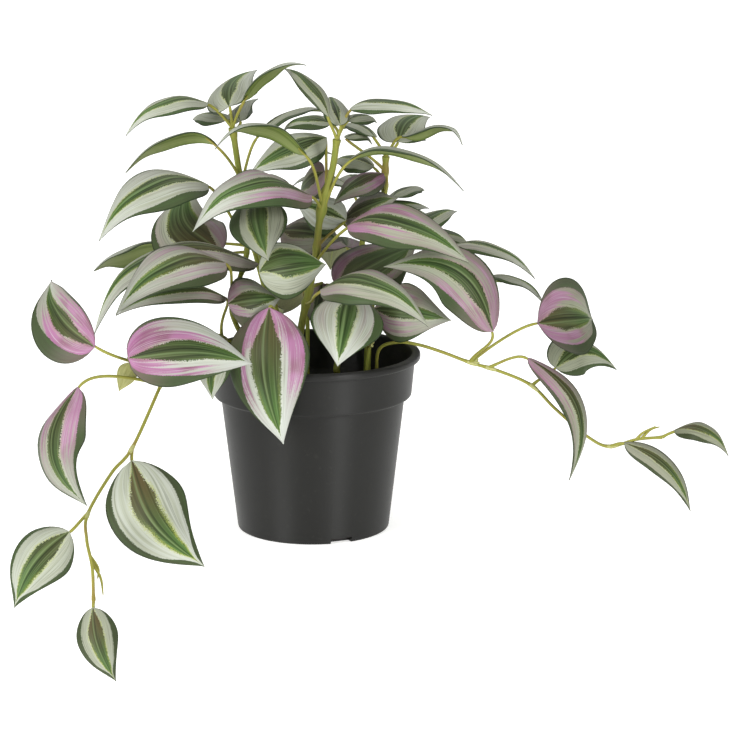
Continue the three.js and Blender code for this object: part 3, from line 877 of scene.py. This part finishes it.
def addStem(sheet, stem):
    s = stalk
    samples = np.linspace(0, 1, s["samples"] * stem.curve.spans + 1)
    path = stem.curve.at(samples)
    lengths = lengthsAlong(path)
    joints = sorted({item["start"] for item in stem.data["leaves"]})
    places = [np.interp(stem.share(joint), samples, lengths) for joint in joints]
    radii = np.full(len(path), float(stem.data["radius"]))
    radii *= 1 - s["narrowing"] * lengths / lengths[-1]
    for place in places:
        radii *= 1 + s["swelling"] * np.exp(-((lengths - place) / s["swellingReach"]) ** 2)
    addTube(sheet, path, radii, s["sides"], tone=toneOf("stem" if stem.data["radius"] > 1 else "trail"))
    if stem.data["radius"] > s["sheathed"]:
        return
    rings, width = s["sheathRings"], s["sheathWidth"]
    for place in places:
        if place + s["sheathReach"] > lengths[-1]:
            continue
        along = np.linspace(place + s["sheathStart"], place + s["sheathReach"], rings)
        ring = np.stack([np.interp(along, lengths, path[:, k]) for k in range(3)], axis=1)
        swell = np.interp(np.linspace(0, 1, rings), [0, 0.6, 0.9, 1], [1, width, width, 1.02])
        addTube(sheet, ring, np.interp(along, lengths, radii) * swell, s["sides"], 1, tone=toneOf("bract"))


def addStalk(sheet, stem, data):
    s = stalk
    _, side, midrib = midribOf(data)
    start = stem.at(data["start"])
    forward = unit(midrib(0.06) - midrib(0))
    below = np.cross(side, forward)
    end = midrib(0) - below * s["stalkSink"] * 0.8
    reach = np.linalg.norm(end - start)
    bend = end - forward * reach * s["stalkBend"] if forward.dot(end - start) > 0 else (2 * end + start) / 3
    via = np.array(data["via"] or start + (end - start) * s["stalkVia"] + (0, 0, s["stalkLift"] * reach))
    t = np.linspace(0, 1, s["stalkSamples"])[:, None]
    path = (1 - t) ** 3 * start + 3 * t * (1 - t) ** 2 * via + 3 * t * t * (1 - t) * bend + t ** 3 * end
    tucked = [midrib(place) - below * s["stalkSink"] for place in (0.03, 0.07)]  # runs on under the blade
    path = np.vstack([path, *tucked])
    share = np.linspace(0, 1, len(path))
    radii = s["stalkFoot"] + (s["stalkRadius"] - s["stalkFoot"]) * np.minimum(1, share * 4)
    radii = radii * (1 - 0.35 * np.clip((share - 0.85) / 0.15, 0, 1))
    radii = np.minimum(radii, stem.data["radius"] * 1.05)
    addTube(sheet, path, radii, s["stalkSides"], tone=toneOf("stalk"))


def addSprout(sheet, stem, joint, through):
    curve = Curve([stem.at(joint), *through])
    path = curve.at(np.linspace(0, 1, 12 * curve.spans + 1))
    share = np.linspace(0, 1, len(path))
    radii = stalk["stalkRadius"] * (1 - share ** 2 * 0.7)
    addTube(sheet, path, radii, stalk["sproutSides"], tone=toneOf("sprout"))


def addTuft(sheet, stem, joint, way, reach, thickness):  # small pointed bracts growing from a joint
    foot = stem.at(joint)
    way = unit(np.array(way, float))
    for _ in range(stalk["tuftBracts"]):
        ahead = unit(way + chance.normal(0, stalk["tuftSpread"], 3))
        bend = foot + ahead * reach * 0.5 + way * reach * 0.12
        end = foot + ahead * reach * chance.uniform(0.75, 1.1)
        path = Curve([foot, bend, end]).at(np.linspace(0, 1, 12))
        share = np.linspace(0, 1, len(path))
        radii = thickness * np.maximum(0.12, np.sin(math.pi * np.clip(share * 0.8 + 0.2, 0, 1)) ** 0.8)
        addTube(sheet, path, radii, stalk["sproutSides"], 1, tone=toneOf("bract"))


upperFace = leafTopFinish()
underFace = leafUnderFinish()
stemSkin = stalkFinish()
paleBract = bractFinish()
print("plant finishes made")


def makeStem(name, data):
    stem = Stem(data)
    blades = Sheet()
    for item in data["leaves"]:
        addBlade(blades, item)
    leaves = blades.make(name + "_leaves", [upperFace, underFace, paleBract], blade["sharp"])
    stalks = Sheet()
    addStem(stalks, stem)
    for item in data["leaves"]:
        addStalk(stalks, stem, item)
    for sprout in data.get("sprouts", []):
        addSprout(stalks, stem, *sprout)
    for tuft in data.get("tufts", []):
        addTuft(stalks, stem, *tuft)
    green = stalks.make(name + "_stalks", [stemSkin, paleBract], stalk["sharp"])
    for piece in (leaves, green):
        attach(piece, "root")
        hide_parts(name)
    print(name, "made:", len(data["leaves"]), "leaves")


# The three tall stems in front, with the rosettes.

centreTall = {
    "foot": (-6, 2),
    "radius": 1.7,
    "route": [(-5, 1, 85), (1, -1, 114), (3.5, -2, 135), (8.5, -3, 154), (10.5, -4, 167)],
    "leaves": [
        leaf(4, (7, -6, 177), (-12, 16, 194), (1, -2, 1), 10, 6, lead=0.8, pale=0.2, band=0.34, shade=0.2),
        leaf(4, (12, -3, 173), (7, 22, 181), (0, -1, 1), 12, 3, pale=0.3, band=0.22, shade=0.1),
        leaf(4, (16, 2, 179), (50, -10, 178), (0, -1, 3), 15, 5, lead=0.85, band=0.24),
        leaf(4, (15, 3, 174), (27, 22, 170), (0, -1, 2), 11, 3, pale=0.2, band=0.2),
        leaf(2.2, (-2, -12, 162), (-39, -30, 167), (0, 1, 2), 15, 12, pale=0.4),
        leaf(2.2, (8, 14, 171), (-13, 34, 164), (0, -1, 2), 14, 5, pale=0.4, band=0.42, rim=0.25),
        leaf(2.5, (6, 14, 165), (-26, -2, 152), (0, -1, 1), 21, 5, pale=0.4, band=0.3),
        leaf(2.4, (5, 12, 151), (-5, 30, 138), (-1, -2, 1), 18, 3, pink=0.6, pale=0.1, olive=0.8, shade=0.35),
        leaf(2, (16, -6, 159), (63, -14, 147), (0, 1, 3), 14, 10, lead=0.85, pale=0.35),
        leaf(2.1, (0, -13, 145), (-48, -36, 134), (0, -1, 2), 30, 15, cup=14, lead=1.15,
             pink=0.75, pale=0.6, band=0.25, rim=0.2),
        leaf(1, (15, -18, 133), (65, -36, 121), (0, -3, 4), 26, 12, cup=14, lead=0.9,
             pink=0.85, pale=0.12, band=0.25, rim=0.2),
        leaf(1, (-21, -37, 117), (6, -19, 117), (0, -3, 1), 27, 4, pale=0.4, band=0.5, rim=0.1, shift=-0.22),
        leaf(0.4, (4, -37, 110), (48, -58, 99), (0, -2, 3), 24, 15, via=(3, -22, 103),
             pink=0.45, pale=0.2, band=0.28, rim=0.2, shade=0.06),
        leaf(1.3, (14, 12, 130), (-7, 21, 135), (0, -1, 1), 22, 3, pale=0.8, band=0.2),
        leaf(0.6, (4, 8, 104), (0, 11, 84), (0, -1, 0), 15, 2, pink=0.6, pale=0.1, band=0.24, shade=0.5),
    ],
}
makeStem("centre_tall_stem", centreTall)

leftTall = {
    "foot": (-10, 13),
    "radius": 1.6,
    "route": [(-14, 18, 81), (-23, 24, 115), (-30, 24, 141), (-34, 22, 168)],
    "leaves": [
        leaf(3, (-44, 18, 179), (-78, 6, 167), (0, -3, 6), 14, 9, pink=0.05, pale=0.45, band=0.26, rim=0.12),
        leaf(3, (-35, 16, 178), (-24, 40, 190), (-2, -3, 3), 26, 3, sway=-5, band=0.26),
        leaf(3, (-29, 12, 181), (-2, -4, 198), (-1, 1, 3), 12, 6, pale=0.45),
        leaf(2.9, (-31, 28, 170), (-24, 52, 176), (-1, -1, 3), 13, 2, sway=-4, pale=0.3, band=0.18),
        leaf(2.9, (-36, 26, 171), (-52, 44, 168), (0, -1, 5), 17, 3, pale=0.35, band=0.2),
        leaf(2.2, (-40, 12, 162), (-78, 2, 152), (0, 2, 3), 13, 9.5, lead=0.75, pale=0.35),
        leaf(2.1, (-24, 23, 164), (7, 44, 171), (0, 1, 3), 16, 6, pale=0.3, band=0.3),
        leaf(1.6, (-22, -14, 146), (-17, -46, 124), (0, -3, 1), 27, 3, sway=2,
             pale=0.2, band=0.3, rim=0.3, shade=0.2),
        leaf(1.1, (-14, 26, 123), (12, 13, 121), (0, -1, 1), 32, 4, pink=0.5, pale=0.1, olive=0.8, shade=0.5),
    ],
}
makeStem("left_tall_stem", leftTall)

rightTall = {
    "foot": (23, 13),
    "radius": 1.6,
    "route": [(24, 18, 85), (28, 25, 112), (30, 27, 134), (31, 26, 155)],
    "leaves": [
        leaf(3, (26, 24, 164), (11, 42, 164), (0, 1, 3), 14, 4, pale=0.3),
        leaf(3, (36, 22, 162), (50, 45, 169), (-1, -4, 3), 24, 3, sway=-4, pale=0.4, band=0.26),
        leaf(3, (38, 20, 165), (63, 6, 163), (0, 1, 3), 12, 7, lead=1.7, pale=0.4),
        leaf(2, (34, 42, 135), (48, 62, 134), (0, 1, 5), 15, 3, pale=0.3, shade=0.1),
        leaf(1.9, (23, 38, 131), (50, 57, 127), (0, -1, 3), 17, 3, pale=0.25, shade=0.1),
        leaf(1.6, (42, 32, 121), (62, 49, 127), (0, -1, 3), 15, 4, pink=0.1, pale=0.3, shade=0.1),
        leaf(1.3, (44, 30, 119), (68, 42, 110), (0, -1, 3), 19, 7, pink=0.1, pale=0.1, rim=0.35, shade=0.3),
        leaf(2, (30, 18, 149), (9, 5, 138), (-1, -2, 2), 17, 4,
             pink=1, pale=0.05, olive=1, band=0.3, shade=0.44),
        leaf(2.7, (14, 20, 164), (25, 34, 159), (0, -1, 3), 9, 3, pale=0.1, olive=0.6),
        leaf(2.4, (26, 36, 149), (8, 44, 149), (0, -1, 3), 18, 4, pale=0.3, band=0.2, olive=0.6),
        leaf(1.2, (13, 19, 129), (36, 10, 140), (0, -1, 1), 23, 3, pink=0.5, pale=0.1, olive=0.8, shade=0.5),
        leaf(1.1, (58, 22, 117), (94, 6, 106), (0, -2, 5), 11, 8, pink=0.3, pale=0.4, band=0.2),
        leaf(0.8, (72, 20, 103), (97, -6, 98), (0, 1, 3), 15, 6, pink=0.1, pale=0.35),
    ],
}
makeStem("right_tall_stem", rightTall)

# The short stems with the broad leaves over the rim.

lowLeft = {
    "foot": (-18, 1),
    "radius": 1.2,
    "route": [(-26, -8, 79), (-32, -16, 92), (-33, -18, 101), (-28, -8, 116), (-27, -6, 124)],
    "leaves": [
        leaf(4, (-43, -10, 149), (-87, -30, 129), (0, -1, 2), 29, 14, cup=14, lead=1.0, via=(-31, -12, 129),
             pink=0.1, pale=0.55, band=0.24, rim=0.2),
        leaf(3.4, (-38, -6, 120), (-52, 26, 142), (0, -4, 3), 36, 3, sway=-10,
             pink=0.55, pale=0.3, olive=1, band=0.42, shade=0.1),
        leaf(2.8, (-22, -17, 117), (-90, -27, 89), (0, -1, 3), 27, 24,
             pink=0.4, pale=0.4, olive=0.8, shade=0.05),
        leaf(2, (-35, -35, 121), (-78, -62, 105), (0, -3, 4), 28, 14, cup=14, lead=1.1,
             pink=0.5, pale=0.45, olive=0.9, rim=0.18, shade=0.05),
    ],
}
makeStem("low_left_stem", lowLeft)

frontLeft = {
    "foot": (-7, -9),
    "radius": 1.1,
    "route": [(-9, -20, 80), (-13, -30, 97)],
    "leaves": [
        leaf(1, (-17, -39, 103), (-11, -57, 50), (-1, -8, 2), 38, 6, sway=3,
             pink=0.95, pale=0.9, olive=0.8, band=0.34, rim=0.28),
        leaf(0.6, (-34, -36, 104), (-13, -26, 104), (0, -5, 3), 27, 3,
             pink=0.7, pale=0.35, olive=0.6, band=0.28, rim=0.3, shade=0.15),
    ],
}
makeStem("front_left_stem", frontLeft)

frontRight = {
    "foot": (22, -9),
    "radius": 1.1,
    "route": [(23, -11, 74), (24, -14, 86), (21, -16, 96)],
    "leaves": [
        leaf(2, (17, -25, 107), (11, -46, 80), (0, -2, 1), 34, 4,
             pink=0.3, pale=0.75, olive=0.2, band=0.24, rim=0.2, lean=-0.6),
        leaf(1, (26, -12, 97), (58, -22, 94), (0, -3, 1), 28, 7,
             pink=0.65, pale=0.25, band=0.26, rim=0.12, shade=0.12),
        leaf(2, (10, -8, 106), (44, 12, 119), (-1, -4, 3), 34, 3,
             pink=0.8, pale=0, olive=0.5, band=0.45, rim=0.3, shade=0.42),
    ],
    "tufts": [(0.6, (0.3, -1, 1), 5, 0.8), (0.9, (-0.3, -1, 0.8), 4, 0.7)],
}
makeStem("front_right_stem", frontRight)

# The two thin stems that hang out over the rim.

rightTrailing = {
    "foot": (27, -4),
    "radius": 0.75,
    "route": [(28, -11, 79), (36, -14, 83), (45, -15, 82), (55, -16, 79), (66, -17, 75), (79, -17, 71),
              (92, -17, 65), (102, -17, 55), (116, -18, 43), (125, -18, 39), (136, -18, 42), (147, -18, 43)],
    "leaves": [
        leaf(4, (75, -30, 91), (30, -24, 117), (2, -5, 3), 29, 9, cup=16, sway=11,
             pink=0.7, pale=0.15, rim=0.2, shade=0.08),
        leaf(4, (94, -18, 92), (119, 14, 87), (6, -7, 4), 36, 3, cup=-20,
             pink=0.8, pale=0.05, olive=0.8, rim=0.26, lean=0.2, shade=0.15, keep=0.6),
        leaf(4.6, (90, -22, 78), (107, -36, 29), (4, -5, 2), 14, 6, sway=-12,
             pink=0.75, pale=0.05, olive=0.9, rim=0.18, lean=0, shade=0.2, keep=0.4),
        leaf(6, (102, -14, 72), (129, 4, 67), (1, -2, 2), 22, 3, sway=-8,
             pale=0.2, olive=0.3, rim=0.2, shade=0.1, keep=0.5),
        leaf(9, (131, -20, 41), (158, -33, 15), (1, -3, 2), 12, 3, sway=-5,
             pink=0.1, pale=0.1, olive=0.8, rim=0.2, lean=0, shade=0.15, keep=0.6),
        leaf(11, (152, -18, 46), (174, -26, 37), (0, -3, 4), 12, 9, olive=1, pale=0, rim=0.25, shade=0.2),
    ],
    "sprouts": [(10, [(139, -18, 45), (144, -19, 48)]), (10.2, [(142, -17, 46), (146, -16, 47)])],
    "tufts": [(4.1, (1, -0.4, 0.8), 4, 0.5)],
}
makeStem("right_trailing_stem", rightTrailing)

leftTrailing = {
    "foot": (-20, -9),
    "radius": 0.75,
    "route": [(-29, -16, 81), (-36, -22, 86), (-41, -30, 90), (-49, -46, 91), (-55, -66, 88), (-59, -88, 81),
              (-68, -118, 64), (-75, -134, 58), (-82, -160, 49), (-81, -177, 44), (-78, -190, 37),
              (-77, -198, 27)],
    "leaves": [
        leaf(4.7, (-70, -106, 97), (-23, -72, 87), (0, -3, 1), 31, 3, sway=-4,
             pink=1, pale=0.8, olive=0.4, band=0.26, rim=0.22),
        leaf(4.7, (-83, -104, 101), (-102, -76, 122), (-4, -5, 1), 30, 6, cup=-20, sway=-2,
             pink=0.95, pale=0.35, olive=0.7, band=0.26, rim=0.28, lean=-0.8, shade=0.12),
        leaf(4.9, (-90, -104, 85), (-85, -130, 44), (-3, -5, 1), 26, 6, sway=10,
             pink=0.8, pale=0.3, olive=0.5, band=0.25, rim=0.24, lean=0, shade=0.12, keep=0.3),
        leaf(6, (-68, -122, 60), (-39, -145, 24), (1, -5, 1), 35, 3, sway=6,
             pale=0.6, olive=1, band=0.3, rim=0.2, lean=0, keep=0.7),
        leaf(8, (-88, -170, 45), (-108, -182, 19), (-1, -5, 1), 24, 3, sway=3,
             olive=0.5, band=0.32, rim=0.15, lean=0, keep=0.9),
        leaf(11, (-77, -201, 25), (-68, -214, 1), (0, -3, 1), 17, 2, sway=2, lead=1.3,
             pale=0.25, olive=1, band=0.34, rim=0.26, lean=0, shade=0.1, keep=0.8),
        leaf(4.6, (-70, -88, 91), (-75, -90, 80), (0, -3, 1), 9, 1, plain=True),
        leaf(1, (-39, -42, 86), (-40, -50, 67), (-1, -2, 1), 17, 3, pale=0.6),
        leaf(1.2, (-35, -24, 104), (-79, -50, 102), (0, -2, 3), 14, 9, via=(-39, -25, 96),
             pink=0.5, pale=0.35, olive=0.6, shade=0.08),
    ],
    "sprouts": [(9.8, [(-75, -190, 33), (-74, -192, 27)]), (9.6, [(-76, -188, 36), (-76, -191, 33)])],
}
makeStem("left_trailing_stem", leftTrailing)

# The stems that fill the back.

backLeft = {
    "foot": (-13, 24),
    "radius": 1.5,
    "route": [(-18, 35, 84), (-26, 46, 112), (-30, 52, 138)],
    "leaves": [
        leaf(2, (-24, 62, 139), (-14, 90, 128), (0, 0, 1), 18, 5, pink=0.1),
        leaf(1.9, (-21, 54, 147), (8, 62, 150), (0, 0, 1), 16, 5, pink=0.1),
        leaf(1, (-64, 40, 115), (-94, 22, 106), (0, 3, 4), 23, 4, olive=0.8),
        leaf(1, (-25, 61, 120), (-24, 102, 102), (0, 0, 1), 24, 9, pink=0.5),
        leaf(0.3, (-24, 52, 88), (-26, 84, 62), (0, 0, 1), 24, 6, pink=0.8),
    ],
}
makeStem("back_left_stem", backLeft)

backRight = {
    "foot": (10, 26),
    "radius": 1.5,
    "route": [(15, 40, 84), (20, 54, 106), (22, 62, 126)],
    "leaves": [
        leaf(2, (31, 70, 126), (54, 84, 112), (0, 0, 1), 19, 5, pink=0.1),
        leaf(2, (20, 74, 135), (12, 105, 126), (0, 0, 1), 19, 6, pink=0.2),
        leaf(1.8, (14, 66, 136), (-10, 74, 134), (0, 0, 1), 15, 5, pink=0.1),
        leaf(1, (31, 60, 112), (60, 76, 98), (0, 0, 1), 24, 9, pink=0.5),
        leaf(1, (14, 68, 108), (6, 106, 90), (0, 0, 1), 30, 9, pink=0.6, shade=0.4),
        leaf(0.2, (28, 46, 92), (44, 70, 68), (0, 0, 1), 26, 8, pink=0.8),
    ],
}
makeStem("back_right_stem", backRight)

backLow = {
    "foot": (-3, 31),
    "radius": 1.1,
    "route": [(-3, 42, 80), (-4, 48, 91)],
    "leaves": [
        leaf(1, (-11, 55, 96), (-27, 86, 66), (0, 1, 2), 31, 7, pink=0.9, pale=0.7, shade=0.2),
        leaf(0.8, (5, 55, 94), (18, 88, 64), (0, 1, 2), 27, 7, pink=0.8, pale=0.7, shade=0.2),
    ],
}
makeStem("back_low_stem", backLow)
